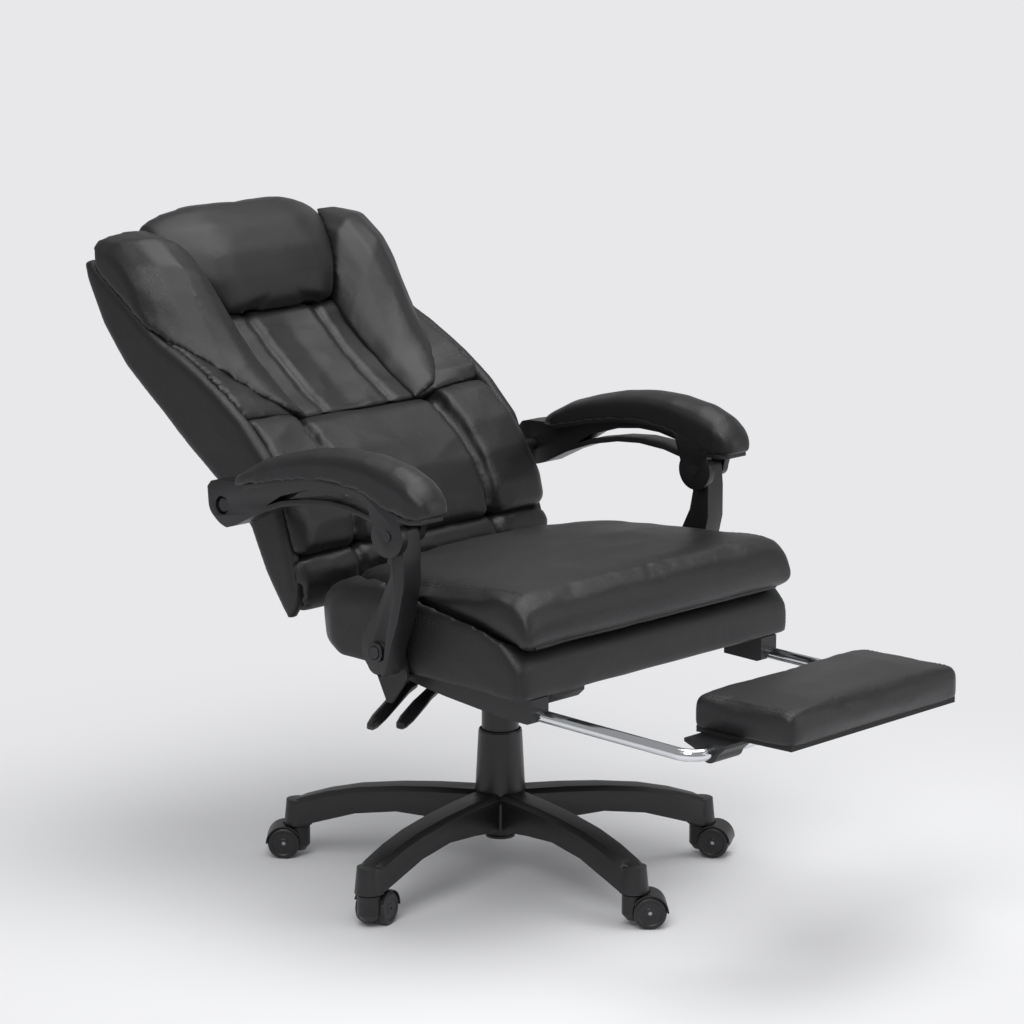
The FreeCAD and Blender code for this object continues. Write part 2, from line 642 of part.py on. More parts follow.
def armPost(side, name):
    low, high = armSpan(side, SIZE["postInner"], SIZE["postOuter"])
    post = plate(name + "_block", POST_PATH, low, high, "Dims.postOuter - Dims.postInner")
    doc.recompute()
    tools = [cylinder(name + "_pinHole", 5.06, 60.0, (low - 5.0, knY, knZ), (1, 0, 0)),
             cylinder(name + "_boltHole", 6.0, 60.0, (low - 5.0, pivotY, pivotZ), (1, 0, 0))]
    sinkStart = 349.0 if side > 0 else -349.0
    tools.append(cylinder(name + "_headSink", 9.6, 10.0, (sinkStart, pivotY, pivotZ), (side, 0, 0)))
    # The outer face steps in round the pivot, as on the moulded post.
    stepLow, stepHigh = armSpan(side, 345.0, 356.0)
    step = plate(name + "_step", [(-118.0, 557.0), (-121.0, 505.0), (-106.0, 455.0), (-99.0, 405.0), (-92.0, 380.0),
                                  (-30.0, 380.0), (-30.0, 465.0), (-90.0, 557.0)], stepLow, stepHigh)
    hollow = cut(name + "_hollowed", post, step)
    padStart = 345.0 if side > 0 else -345.0
    collar = cylinder(name + "_collar", 15.0, 8.0, (padStart, pivotY, pivotZ), (side, 0, 0))
    whole = fuse(name + "_whole", [hollow, collar])
    return node(name, cut(name + "Post", whole, fuse(name + "_tools", tools)))


def planOutline(name, side, inner, outer, front, rear, low, high):
    """Upright block with a rounded front and rear end, seen from above."""
    a, b = armSpan(side, inner, outer)
    middle = 0.5 * (a + b)
    path = [(a, rear - 14.0), (a, front + 20.0), (middle, front, a + 7.0, front + 6.0),
            (b, front + 20.0, b - 7.0, front + 6.0), (b, rear - 14.0), (middle, rear, b - 7.0, rear - 4.0),
            (a, rear - 14.0, a + 7.0, rear - 4.0)]
    return plate(name, path, low, high, role="XY_Plane")


def common(label, base, tool):
    result = doc.addObject("Part::Common", label)
    result.Base = base
    result.Tool = tool
    return result


def armBeam(side, name):
    low, high = armSpan(side, SIZE["armInner"], SIZE["armOuter"])
    outline = BEAM_TOP + BEAM_REAR + RIB_UNDER + [(-118.0, 613.0), (-150.0, 619.0), (-170.0, 621.0)]
    bar = plate(name + "_bar", outline, low, high, "Dims.armOuter - Dims.armInner")
    slot = plate(name + "_slot", SLOT_PATH, low - 1.0, high + 1.0)
    trayLow, trayHigh = armSpan(side, 306.0, 370.0)
    tray = plate(name + "_tray", BEAM_TOP[:10] + [
        (166.0, 628.5), (96.0, 645.5), (39.0, 655.5), (-18.0, 658.5), (-71.0, 651.5), (-102.0, 640.5),
        (-126.0, 629.5), (-148.0, 623.0), (-165.0, 621.0), (-182.0, 622.0)], trayLow, trayHigh)
    plan = planOutline(name + "_plan", side, 305.9, 370.1, -184.0, 182.0, 600.0, 700.0)
    pieces = [bar, common(name + "_trayRounded", tray, plan)]
    # The large disc is on the sitter's right of each arm, the other end of the pin has a small eye.
    for earLow, big in ((-370.0 if side < 0 else 306.0, True), (-318.0 if side < 0 else 358.0, False)):
        radius = SIZE["knuckleDisc"] if big else 15.0
        pieces.append(cylinder(name + "_disc%d" % big, radius, 12.0, (earLow, knY, knZ), (1, 0, 0)))
        if big:
            web = [(knY - 24.0, knZ + 15.0), (knY + 28.0, knZ + 12.0), (-82.0, 649.0), (-105.0, 641.0),
                   (-126.0, 631.0), (-148.0, 625.0)]
        else:
            web = [(knY - 15.0, knZ), (knY + 15.0, knZ), (-100.0, 642.0), (-126.0, 631.0), (-146.0, 625.5)]
        pieces.append(plate(name + "_ear%d" % big, web, earLow, earLow + 12.0))
    whole = fuse(name + "_whole", pieces)
    barrelLow, barrelHigh = armSpan(side, 318.0, 358.0)
    tools = [
        slot,
        cylinder(name + "_knuckleRoom", 17.0, 40.0, (barrelLow, knY, knZ), (1, 0, 0)),
        cylinder(name + "_pinHole", 5.0, 90.0, (trayLow - 5.0, knY, knZ), (1, 0, 0)),
        cylinder(name + "_boltHole", 8.8, 60.0, (low - 5.0, boltY, boltZ), (1, 0, 0)),
        cylinder(name + "_boltSink", 14.0, 12.0, (side * 352.0, boltY, boltZ), (side, 0, 0)),
    ]
    return node(name, cut(name + "Beam", whole, fuse(name + "_tools", tools)))


# Arm pads: crowned, long in Y, each cross-section a flat base and a domed top

PAD_STATIONS = [
    # y, base, crown, half width
    (-192.0, 632.0, 647.0, 15.0),
    (-187.0, 629.0, 657.0, 24.0),
    (-177.0, 626.0, 669.0, 30.0),
    (-160.0, 625.0, 684.0, 34.0),
    (-128.0, 633.0, 697.5, 34.5),
    (-73.0, 655.0, 706.5, 34.5),
    (-18.0, 662.0, 707.5, 34.5),
    (39.0, 659.0, 701.5, 34.5),
    (96.0, 649.0, 688.0, 34.5),
    (140.0, 639.0, 674.5, 34.5),
    (174.0, 631.5, 657.0, 33.5),
    (188.0, 631.5, 647.0, 31.0),
]


def armPad(side, name, beam):
    middle = side * 0.5 * (SIZE["armPadInner"] + SIZE["armPadOuter"])
    sections = []
    for y, low, crown, half in reversed(PAD_STATIONS):
        rise = crown - low
        path = [
            (middle - half, low), (middle + half, low), (middle + half, low + 0.5 * rise),
            (middle + 0.62 * half, low + 0.9 * rise, middle + 0.9 * half, low + 0.77 * rise),
            (middle - 0.62 * half, low + 0.9 * rise, middle, crown),
            (middle - half, low + 0.5 * rise, middle - 0.9 * half, low + 0.77 * rise),
        ]
        sections.append((-y, path))
    raw = lofted(name + "_block", sections, role="XZ_Plane", ruled=True)
    return node(name, cut(name + "Pad", raw, beam))


for side, tag in ((-1, "right"), (1, "left")):
    armPost(side, "arm_post_" + tag)
    beam = armBeam(side, "arm_beam_" + tag)
    armPad(side, "arm_pad_" + tag, beam)

pins = []
for side in (-1, 1):
    pin = turned("knucklePin%d" % side, [
        (0.0, 304.6), (8.0, 304.6), (8.0, 306.0), (5.0, 306.0), (5.0, 370.0), (8.0, 370.0), (8.0, 371.4), (0.0, 371.4)])
    pin.Placement = Placement(Vector(0, knY, knZ), Rotation(Vector(0, 0, 1), Vector(side, 0, 0)))
    pins.append(pin)
for pin, tag in zip(pins, ("right", "left")):
    node("knuckle_pin_" + tag, pin)

rearBolts = []
for side in (-1, 1):
    bolt = turned("rearBolt%d" % side, [
        (0.0, 262.0), (6.0, 262.0), (6.0, 279.2), (10.0, 279.2), (10.0, 319.4), (6.0, 319.4), (6.0, 352.4),
        (11.0, 352.4), (11.0, 356.5), (9.0, 358.0), (0.0, 358.0)])
    bolt.Placement = Placement(Vector(0, boltY, boltZ), Rotation(Vector(0, 0, 1), Vector(side, 0, 0)))
    rearBolts.append(bolt)
rearBoltPair = doc.addObject("Part::Compound", "rearBolts")
rearBoltPair.Links = rearBolts
node("rear_bolts", rearBoltPair)

# Back: shell, side panels, board, brackets and the sewn cushions

REAR_LINE = [(173, 416), (197, 448), (221, 483), (252, 547), (326, 610), (376, 645), (448, 702), (522, 760), (573, 821),
             (606, 885), (614, 913)]
BOARD_LINE = [(174, 425), (178, 460), (190, 508), (208, 568), (247, 625), (314, 675), (374, 719), (432, 763), (494, 815),
              (546, 870), (584, 913)]
SEAM_LINE = [(172, 416), (158, 437), (152, 463), (163, 508), (182, 570), (217, 653), (268, 703), (322, 741), (360, 763),
             (402, 785), (440, 802), (480, 827), (520, 857), (572, 893)]

BOARD_THICK = 9.0
BOARD_REAR = [(y + BOARD_THICK * 0.7, z - BOARD_THICK * 0.71) for y, z in BOARD_LINE[1:-1]]


def shellSection(bulge):
    rear = [(y + bulge * 0.75, z - bulge * 0.65) for y, z in REAR_LINE[1:-1]]
    return BOARD_LINE[:2] + BOARD_REAR + BOARD_LINE[-2:] + [REAR_LINE[-1]] + rear[::-1]


# The board fills the hollow of the shell's front from side panel to side panel.
shellHalf = SIZE["shellHalf"]
shellRaw = lofted("back_shell_block", [
    (-shellHalf, shellSection(0.0)), (-150.0, shellSection(7.0)), (150.0, shellSection(7.0)),
    (shellHalf, shellSection(0.0))], ruled=True)
board = plate("back_board_block", BOARD_LINE[1:-1] + BOARD_REAR[::-1], -shellHalf, shellHalf, "2 * Dims.shellHalf")


def sidePanelPath(inset):
    front = [(y + inset * 0.8, z - inset * 0.5) for y, z in SEAM_LINE]
    rear = [(y - inset * 0.7, z + inset * 0.6) for y, z in REAR_LINE[1:]]
    return front + [(600 - inset, 915 - inset * 0.5)] + rear[::-1]


sidePanels = []
for side, tag in ((-1, "right"), (1, "left")):
    spans = [(SIZE["shellHalf"], 0.0), (272.0, 0.0), (277.5, 3.0), (SIZE["backHalf"], 7.0)]
    if side < 0:
        sections = [(-x, sidePanelPath(inset)) for x, inset in reversed(spans)]
    else:
        sections = [(x, sidePanelPath(inset)) for x, inset in spans]
    panel = lofted("back_side_%s_block" % tag, sections, ruled=True)
    sidePanels.append(panel)
sidePair = fuse("sidePair", sidePanels)

notchTools = []
for side in (-1, 1):
    low = 106.0 if side > 0 else -136.0
    notchTools.append(block("notch%d" % side, (low, 100.0, 385.0), (low + 30.0, 196.0, 461.0)))

backBracketParts = []
bracketTools = []
for side in (-1, 1):
    low = 119.0 if side > 0 else -125.0
    bracket = plate("backBracket%d" % side, [
        (158.0, 437.0), (172.0, 423.0, 162.0, 427.0), (186.0, 437.0, 182.0, 427.0), (197.0, 463.0), (224.0, 525.0),
        (206.0, 525.0), (180.5, 463.0), (166.0, 449.0)], low, low + 6.0)
    backBracketParts.append(bracket)
brackHole = cylinder("bracketPinHole", 6.05, 300.0, (-150.0, hingeY, hingeZ), (1, 0, 0))
backBrackets = node("back_brackets", cut("backBrackets", fuse("backBracketPair", backBracketParts), brackHole))
backTools = fuse("backTools", notchTools + backBracketParts)

rearBoltHoles = cylinder("rearBoltHoles", 6.0, 600.0, (-300.0, boltY, boltZ), (1, 0, 0))
boardNode = node("back_board", cut("backBoardCut", board, backTools))
shell = node("back_shell", cut("backShell", shellRaw, backTools))
for panel, tag in zip(sidePanels, ("right", "left")):
    node("back_side_" + tag, cut("backSide" + tag, panel, rearBoltHoles))

# Sewn front cushions of the back, each a loft across the width


def frontPad(name, table):
    raw = lofted(name + "_block", mirroredSections(table), ruled=True)
    return node(name, cut(name + "Cut", raw, fuse(name + "_tools", [sidePair, backTools, board])))

LUMBAR = {
    0.0: [(174, 425), (160, 431), (147, 447), (139, 470), (139, 493), (149, 509), (166, 513), (191, 511), (178, 460)],
    140.0: [(174, 425), (160, 431), (147, 447), (139, 470), (139, 493), (149, 509), (166, 513), (191, 511), (178, 460)],
    151.0: [(174, 425), (162, 433), (151, 449), (144, 471), (144, 493), (153, 507), (166, 511), (191, 511), (178, 460)],
    162.0: [(174, 425), (160, 431), (147, 447), (139, 470), (139, 493), (149, 509), (166, 513), (191, 511), (178, 460)],
    262.0: [(174, 425), (162, 432), (150, 448), (143, 470), (143, 491), (151, 507), (166, 511), (191, 511), (178, 460)],
    277.0: [(174, 429), (168, 438), (160, 452), (156, 472), (156, 489), (160, 501), (168, 507), (188, 507), (178, 460)],
}
MIDDLE = {
    0.0: [(191.5, 512.5), (160, 514), (150, 523), (157, 560), (182, 605), (222, 647), (272, 681), (292, 685), (313, 675),
          (247, 625), (208, 568)],
    132.0: [(191.5, 512.5), (160, 514), (150, 523), (157, 560), (182, 605), (222, 647), (270, 682), (290, 686), (313, 675),
            (247, 625), (208, 568)],
    146.0: [(191.5, 512.5), (166, 515), (161, 526), (169, 561), (194, 602), (232, 642), (276, 676), (290, 682), (313, 675),
            (247, 625), (208, 568)],
    160.0: [(191.5, 512.5), (160, 514), (149, 524), (154, 563), (178, 609), (216, 653), (262, 691), (281, 698), (314, 675.5),
            (247, 625), (208, 568)],
    255.0: [(191.5, 512.5), (160, 514), (148, 524), (155, 563), (180, 609), (212, 653), (256, 693), (276, 702), (314, 675.5),
            (247, 625), (208, 568)],
    274.0: [(191.5, 514), (170, 516), (160, 527), (170, 565), (193, 605), (223, 648), (262, 686), (278, 695), (314, 675.5),
            (247, 625), (208, 568)],
}
UPPER = {
    0.0: [(314, 676), (295, 688), (309, 692), (352, 717), (402, 755), (446, 793), (464, 814), (478, 821), (494, 815),
          (432, 763), (374, 719)],
    60.0: [(314, 676), (294, 688), (302, 693), (345, 720), (396, 759), (441, 798), (461, 817), (478, 823), (494, 815),
           (432, 763), (374, 719)],
    132.0: [(314, 676), (294, 688), (306, 693), (350, 719), (402, 757), (448, 795), (464, 814), (478, 822), (494, 815),
            (432, 763), (374, 719)],
    165.0: [(314, 676), (283, 700), (300, 710), (346, 735), (400, 767), (446, 801), (466, 818), (478, 823), (494, 815),
            (432, 763), (374, 719)],
    215.0: [(314, 676), (280, 704), (297, 720), (343, 748), (397, 775), (444, 803), (465, 818), (478, 823), (494, 815),
            (432, 763), (374, 719)],
    262.0: [(314, 676), (279, 707), (296, 726), (342, 758), (394, 782), (442, 805), (464, 819), (478, 823), (494, 815),
            (432, 763), (374, 719)],
    276.0: [(314, 684), (290, 707), (306, 724), (348, 752), (398, 776), (444, 800), (466, 815), (478, 821), (494, 815),
            (432, 763), (374, 719)],
}
frontPad("lumbar_roll", LUMBAR)
middle = frontPad("middle_cushion", MIDDLE)
upper = frontPad("upper_cushion", UPPER)

PILLOW = {
    0.0: [(490, 808), (464, 817), (458, 835), (464, 875), (484, 914), (522, 959), (562, 983), (594, 985), (610, 965),
          (613, 908), (560, 860)],
    90.0: [(490, 808), (464, 817), (458, 835), (464, 875), (484, 914), (522, 959), (562, 983), (594, 985), (610, 965),
           (613, 908), (560, 860)],
    118.0: [(490, 812), (468, 821), (464, 837), (470, 876), (490, 914), (528, 956), (565, 979), (594, 981), (609, 963),
            (612, 908), (560, 860)],
    150.0: [(522, 852), (500, 865), (494, 873), (498, 891), (512, 919), (540, 951), (570, 971), (594, 974), (607, 959),
            (611, 908), (570, 878)],
    178.0: [(556, 900), (540, 911), (536, 917), (538, 925), (546, 937), (560, 952), (578, 962), (594, 963), (604, 953),
            (609, 914), (590, 905)],
    186.0: [(566, 920), (558, 928), (556, 930), (557, 933), (561, 938), (568, 945), (580, 951), (592, 952), (600, 946),
            (604, 926), (590, 920)],
}
pillowRaw = lofted("head_pillow_block", mirroredSections(PILLOW), ruled=True)
pillow = node("head_pillow", cut("headPillow", pillowRaw, fuse("pillowTools", [upper, shell, boardNode])))

WING = [
    # distance from the middle, then low, four points up the front, top, rear top, rear
    (118.0, [(300, 679), (286, 689), (332, 711), (384, 747), (430, 784), (464, 815), (476, 823), (462, 797)]),
    (134.0, [(303, 683), (284, 698), (332, 730), (388, 775), (436, 820), (480, 870), (520, 895), (490, 780)]),
    (160.0, [(310, 690), (284, 708), (335, 747), (392, 803), (440, 865), (498, 925), (560, 940), (520, 790)]),
    (185.0, [(322, 705), (304, 722), (352, 771), (405, 835), (448, 895), (502, 943), (570, 955), (540, 800)]),
    (215.0, [(352, 720), (338, 743), (385, 803), (430, 870), (462, 913), (512, 951), (575, 958), (550, 805)]),
    (245.0, [(398, 748), (388, 770), (422, 817), (455, 878), (482, 915), (528, 949), (585, 953), (560, 815)]),
    (266.0, [(432, 780), (444, 813), (462, 842), (478, 877), (505, 911), (548, 944), (592, 947), (570, 825)]),
    (279.0, [(478, 818), (476, 830), (492, 857), (506, 885), (528, 910), (560, 930), (590, 930), (575, 850)]),
]
wingTools = fuse("wingTools", [upper, middle, shell, boardNode, pillow, sidePair])
for side, tag in ((-1, "right"), (1, "left")):
    if side < 0:
        sections = [(-x, path) for x, path in reversed(WING)]
    else:
        sections = list(WING)
    raw = lofted("wing_%s_block" % tag, sections, ruled=True)
    node("wing_" + tag, cut("wingCut_" + tag, raw, wingTools))


# Footrest: rails in guides, the bent front bar, clamps, board and pad

railHalf = SIZE["railHalf"]
railR = SIZE["railRadius"]


def railZ(y):
    return under(y) - SIZE["railDrop"]


slopeLength = math.hypot(1.0, SIZE["seatPitch"])
railRear = -176.0
railSplit = -455.0
barY = SIZE["barFront"]
bend = SIZE["railBend"]


def railPoint(side, y):
    return Vector(side * railHalf, y, railZ(y))


for side, tag in ((-1, "right"), (1, "left")):
    start = railPoint(side, railSplit - 24.0)
    end = railPoint(side, railRear)
    direction = end.sub(start)
    outer = cylinder("rail_%s_outer" % tag, "Dims.railRadius", direction.Length, tuple(start), tuple(direction))
    inner = cylinder("rail_%s_inner" % tag, "Dims.railRadius - 1.5", direction.Length, tuple(start), tuple(direction))
    node("footrest_rail_" + tag, cut("rail_" + tag, outer, inner))

barPath = []
points = {}
for side in (-1, 1):
    points[side] = {
        "tail": railPoint(side, railSplit + 6.0),
        "leg": railPoint(side, barY + bend),
        "cross": Vector(side * (railHalf - bend), barY, railZ(barY)),
    }
    corner = Vector(side * railHalf, barY, railZ(barY))
    toLeg = (points[side]["leg"].sub(corner)).normalize()
    toCross = (points[side]["cross"].sub(corner)).normalize()
    points[side]["leg"] = corner.add(toLeg * bend)
    points[side]["cross"] = corner.add(toCross * bend)
    centre = corner.add(toLeg * bend).add(toCross * bend)
    inward = corner.sub(centre).normalize()
    points[side]["mid"] = centre.add(inward * bend)


def barPieces(tag, radius):
    """Two legs, two quarter bends and the cross bar, all of one radius."""
    pieces = []
    for side in (-1, 1):
        leg = points[side]["leg"]
        tail = railPoint(side, railSplit - 24.0)
        along = tail.sub(leg)
        pieces.append(cylinder("barLeg%s%d" % (tag, side), radius, along.Length, tuple(leg), tuple(along)))
        elbow = doc.addObject("Part::Torus", "barBend%s%d" % (tag, side))
        elbow.setExpression("Radius1", "Dims.railBend")
        elbow.setExpression("Radius2", radius)
        elbow.Angle3 = 90
        centre = Vector(side * (railHalf - bend), leg.y, leg.z)
        outward = Vector(side, 0, 0)
        forward = along.normalize() * -1.0
        first = outward if side < 0 else forward
        second = forward if side < 0 else outward
        normal = first.cross(second).normalize()
        elbow.Placement = Placement(centre, Rotation(first, second, normal, "ZXY"))
        pieces.append(elbow)
    cross = points[-1]["cross"]
    pieces.append(cylinder("barCross" + tag, radius, 2 * (railHalf - bend), tuple(cross), (1, 0, 0)))
    return fuse("barSolid" + tag, pieces)


barOuter = barPieces("Outer", "Dims.railRadius")
barInner = barPieces("Inner", "Dims.railRadius - 1.5")
node("footrest_bar", cut("footrestBar", barOuter, barInner))

caps = []
for side in (-1, 1):
    start = railPoint(side, railRear - 12.0)
    end = railPoint(side, railRear)
    direction = end.sub(start)
    plug = cylinder("plug%d" % side, "Dims.railRadius - 1.5", direction.Length, tuple(start), tuple(direction))
    head = cylinder("plugHead%d" % side, "Dims.railRadius", 3.0, tuple(end), tuple(direction))
    caps.append(fuse("cap%d" % side, [plug, head]))
capPair = doc.addObject("Part::Compound", "capPair")
capPair.Links = caps
node("rail_end_caps", capPair)


GUIDE_FRONT = -312.0
GUIDE_REAR = -240.0
SKIRT = [(-236, 345), (-216, 346), (-147, 354), (-100, 361), (-51, 371), (-42, 380)]

guides = []
for side in (-1, 1):
    low = side * railHalf - 18.0
    guideBlock = plate("guide%d" % side, [
        (GUIDE_FRONT, under(GUIDE_FRONT) - 33.5), (GUIDE_FRONT + 8.0, under(GUIDE_FRONT) - 36.5),
        (GUIDE_REAR, under(GUIDE_REAR) - 36.5), (GUIDE_REAR, under(GUIDE_REAR)), (GUIDE_FRONT, under(GUIDE_FRONT))],
        low, low + 36.0)
    start = railPoint(side, GUIDE_FRONT - 20.0)
    direction = railPoint(side, GUIDE_REAR + 20.0).sub(start)
    hole = cylinder("guideBore%d" % side, "Dims.railRadius + Dims.fitGap / 2", direction.Length,
                    tuple(start), tuple(direction))
    bored = cut("guideBored%d" % side, guideBlock, hole)
    skirtLow = side * 273.0 - 2.0
    skirt = plate("guideSkirt%d" % side, SKIRT + [
        (-42, under(-42) - plateZ - 0.3), (-108, under(-108) - plateZ - 0.3), (-108, under(-108)), (-244, under(-244)),
        (-244, 345)],
                  skirtLow, skirtLow + 4.0)
    guides.append(fuse("railGuide%d" % side, [bored, skirt]))
guideSet = doc.addObject("Part::Compound", "guideSet")
guideSet.Links = guides
node("rail_guides", guideSet)

clampParts = []
barZ = railZ(barY)
padUnder = SIZE["padUnder"]
for side in (-1, 1):
    low = 168.0 if side > 0 else -224.0
    body = plate("clamp%d" % side, [
        (barY - 28.0, padUnder), (barY - 28.0, padUnder - 5.0), (barY - 15.0, barZ - 2.0),
        (barY + 15.0, barZ - 2.0, barY, barZ - 14.5), (barY + 44.0, padUnder - 5.0), (barY + 44.0, padUnder)],
        low, low + 56.0)
    hole = cylinder("clampBore%d" % side, "Dims.railRadius + Dims.fitGap / 2", 90.0, (low - 5.0, barY, barZ), (1, 0, 0))
    clampParts.append(cut("clampBored%d" % side, body, hole))
clampPair = doc.addObject("Part::Compound", "clampPair")
clampPair.Links = clampParts
node("pad_clamps", clampPair)

boardTop = padUnder + 9.0
node("footrest_board", plate("footrest_board", [
    (SIZE["padFront"] + 6.0, padUnder), (SIZE["padRear"] - 6.0, padUnder), (SIZE["padRear"] - 6.0, boardTop),
    (SIZE["padFront"] + 6.0, boardTop)], -SIZE["padHalf"] + 6.0, SIZE["padHalf"] - 6.0))

padTop = padUnder + SIZE["padThick"]
frontY = SIZE["padFront"]
rearY = SIZE["padRear"]


def padSection(inset, crown):
    top = padTop - 7.0 + crown
    return [
        (rearY - inset, padUnder + 1.0), (rearY - inset, top - 8.0), (rearY - inset - 10.0, top),
        (0.5 * (rearY + frontY), top + 1.0 + crown), (frontY + inset + 10.0, top), (frontY + inset, top - 8.0),
        (frontY + inset, padUnder + 1.0)]


padHalf = SIZE["padHalf"]
footPadRaw = lofted("footrest_pad_block", mirroredSections({
    0.0: padSection(0.0, 3.0), 120.0: padSection(0.0, 3.0), padHalf - 12.0: padSection(0.0, 0.0),
    padHalf - 4.0: padSection(3.0, -2.0), padHalf: padSection(9.0, -6.0)}), ruled=True)
node("footrest_pad", cut("footrestPad", footPadRaw, NODES["footrest_board"]))

doc.recompute()

# Checks and export

failed = []
for item in doc.Objects:
    if "Invalid" in item.State or "Error" in item.State:
        failed.append((item.Name, item.State))
for name, feature in NODES.items():
    shape = feature.Shape
    if shape.isNull() or not shape.isValid():
        failed.append((name, "shape"))
for problem in failed:
    print("PROBLEM", problem)
if failed:
    raise RuntimeError("%d objects failed" % len(failed))

os.makedirs("parts", exist_ok=True)
for name, feature in NODES.items():
    shape = feature.Shape
    solids = shape.Solids
    volume = sum(solid.Volume for solid in solids)
    print("%-22s solids %d volume %.0f mm3" % (name, len(solids), volume))
    shape.exportStep("parts/%s.step" % name)
print(len(NODES), "nodes written")
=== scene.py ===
import json
import math
import bmesh
import bpy
from mathutils import Matrix, Vector, noise

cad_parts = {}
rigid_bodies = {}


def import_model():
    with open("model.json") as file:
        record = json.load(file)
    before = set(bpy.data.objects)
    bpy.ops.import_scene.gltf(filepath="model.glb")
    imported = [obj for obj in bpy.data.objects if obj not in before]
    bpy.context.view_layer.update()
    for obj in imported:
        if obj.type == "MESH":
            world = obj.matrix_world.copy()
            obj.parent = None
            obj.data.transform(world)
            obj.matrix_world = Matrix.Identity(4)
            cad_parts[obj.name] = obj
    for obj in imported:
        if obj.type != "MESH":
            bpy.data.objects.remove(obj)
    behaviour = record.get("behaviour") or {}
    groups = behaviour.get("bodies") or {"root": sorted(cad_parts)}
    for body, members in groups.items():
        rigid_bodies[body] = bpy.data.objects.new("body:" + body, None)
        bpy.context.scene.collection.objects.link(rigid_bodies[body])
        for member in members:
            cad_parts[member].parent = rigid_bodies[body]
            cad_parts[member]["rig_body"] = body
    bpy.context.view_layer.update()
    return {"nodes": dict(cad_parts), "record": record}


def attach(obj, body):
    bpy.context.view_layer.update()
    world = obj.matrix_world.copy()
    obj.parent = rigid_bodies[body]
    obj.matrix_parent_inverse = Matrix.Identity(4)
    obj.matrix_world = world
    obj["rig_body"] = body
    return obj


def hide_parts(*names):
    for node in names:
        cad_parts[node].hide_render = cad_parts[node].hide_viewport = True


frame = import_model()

# Reclining office chair with a pull-out footrest, in metres.
# The chair faces -Y and the sitter's right hand is on -X.


nodes = frame["nodes"]
collection = bpy.context.scene.collection


def bodyOfNode(name):
    return nodes[name]["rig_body"]


# Colours and shader helpers


def toLinear(hexCode):
    # sRGB hex to the linear numbers that a shader socket takes
    channels = []
    for i in (0, 2, 4):
        c = int(hexCode[i:i + 2], 16) / 255
        channels.append(c / 12.92 if c <= 0.04045 else ((c + 0.055) / 1.055) ** 2.4)
    return (*channels, 1.0)


def addNode(tree, kind, settings=None, inputs=None):
    # inputs holds numbers, colours or output sockets to link
    node = tree.nodes.new(kind)
    for key, value in (settings or {}).items():
        setattr(node, key, value)
    for key, value in (inputs or {}).items():
        if isinstance(value, bpy.types.NodeSocket):
            tree.links.new(value, node.inputs[key])
        else:
            node.inputs[key].default_value = value
    return node


def newMaterial(name):
    material = bpy.data.materials.new(name)
    material.use_nodes = True
    tree = material.node_tree
    shader = tree.nodes["Principled BSDF"]
    return material, tree, shader


def objectCoords(tree):
    return addNode(tree, "ShaderNodeTexCoord").outputs["Object"]


def connectBump(tree, shader, height, distance, strength=1.0):
    bump = addNode(tree, "ShaderNodeBump", None, {"Height": height, "Distance": distance, "Strength": strength})
    tree.links.new(bump.outputs["Normal"], shader.inputs["Normal"])


def mixColours(tree, factor, first, second):
    mix = addNode(tree, "ShaderNodeMix", {"data_type": "RGBA"}, {0: factor})
    mix.inputs[6].default_value = toLinear(first)
    mix.inputs[7].default_value = toLinear(second)
    return mix.outputs[2]


# Materials

leatherLook = {
    "dark": "0e0e10", "light": "171719", "roughness": 0.36,
    "grainMm": 1.6,      # pebble of corrected-grain leather, drawn a little coarse so that it shows
    "creaseMm": 34.0,
}


def bondedLeather(name, look):
    # black corrected-grain upholstery leather: a soft broad sheen over fine pebbles and shallow creases
    material, tree, shader = newMaterial(name)
    coords = objectCoords(tree)
    pebble = addNode(tree, "ShaderNodeTexVoronoi", {"feature": "DISTANCE_TO_EDGE"},
                     {"Vector": coords, "Scale": 1000 / look["grainMm"], "Randomness": 1.0})
    crease = addNode(tree, "ShaderNodeTexNoise", None,
                     {"Vector": coords, "Scale": 1000 / look["creaseMm"], "Detail": 5.0, "Roughness": 0.6,
                      "Distortion": 0.6})
    patches = addNode(tree, "ShaderNodeTexNoise", None, {"Vector": coords, "Scale": 7.0, "Detail": 3.0})
    shader.inputs["IOR"].default_value = 1.48
    shader.inputs["Sheen Weight"].default_value = 0.03
    shader.inputs["Sheen Roughness"].default_value = 0.5
    tree.links.new(mixColours(tree, patches.outputs["Fac"], look["dark"], look["light"]), shader.inputs["Base Color"])
    rough = addNode(tree, "ShaderNodeMapRange", None,
                    {"Value": patches.outputs["Fac"], "From Min": 0.3, "From Max": 0.7,
                     "To Min": look["roughness"] - 0.05, "To Max": look["roughness"] + 0.08})
    tree.links.new(rough.outputs["Result"], shader.inputs["Roughness"])
    height = addNode(tree, "ShaderNodeMath", {"operation": "MULTIPLY_ADD"},
                     {0: crease.outputs["Fac"], 1: 2.2, 2: pebble.outputs["Distance"]})
    connectBump(tree, shader, height.outputs["Value"], 0.0006, 0.55)
    return material


def mouldedPlastic(name, dark, light, roughness, grainMm, strength):
    # moulded nylon or polypropylene with a spark-eroded grain: satin, lighter where it has been handled
    material, tree, shader = newMaterial(name)
    coords = objectCoords(tree)
    grain = addNode(tree, "ShaderNodeTexNoise", None, {"Vector": coords, "Scale": 1000 / grainMm, "Detail": 2.0})
    wear = addNode(tree, "ShaderNodeTexNoise", None, {"Vector": coords, "Scale": 18.0, "Detail": 4.0})
    tree.links.new(mixColours(tree, wear.outputs["Fac"], dark, light), shader.inputs["Base Color"])
    shader.inputs["Roughness"].default_value = roughness
    shader.inputs["IOR"].default_value = 1.5
    connectBump(tree, shader, grain.outputs["Fac"], 0.0002, strength)
    return material


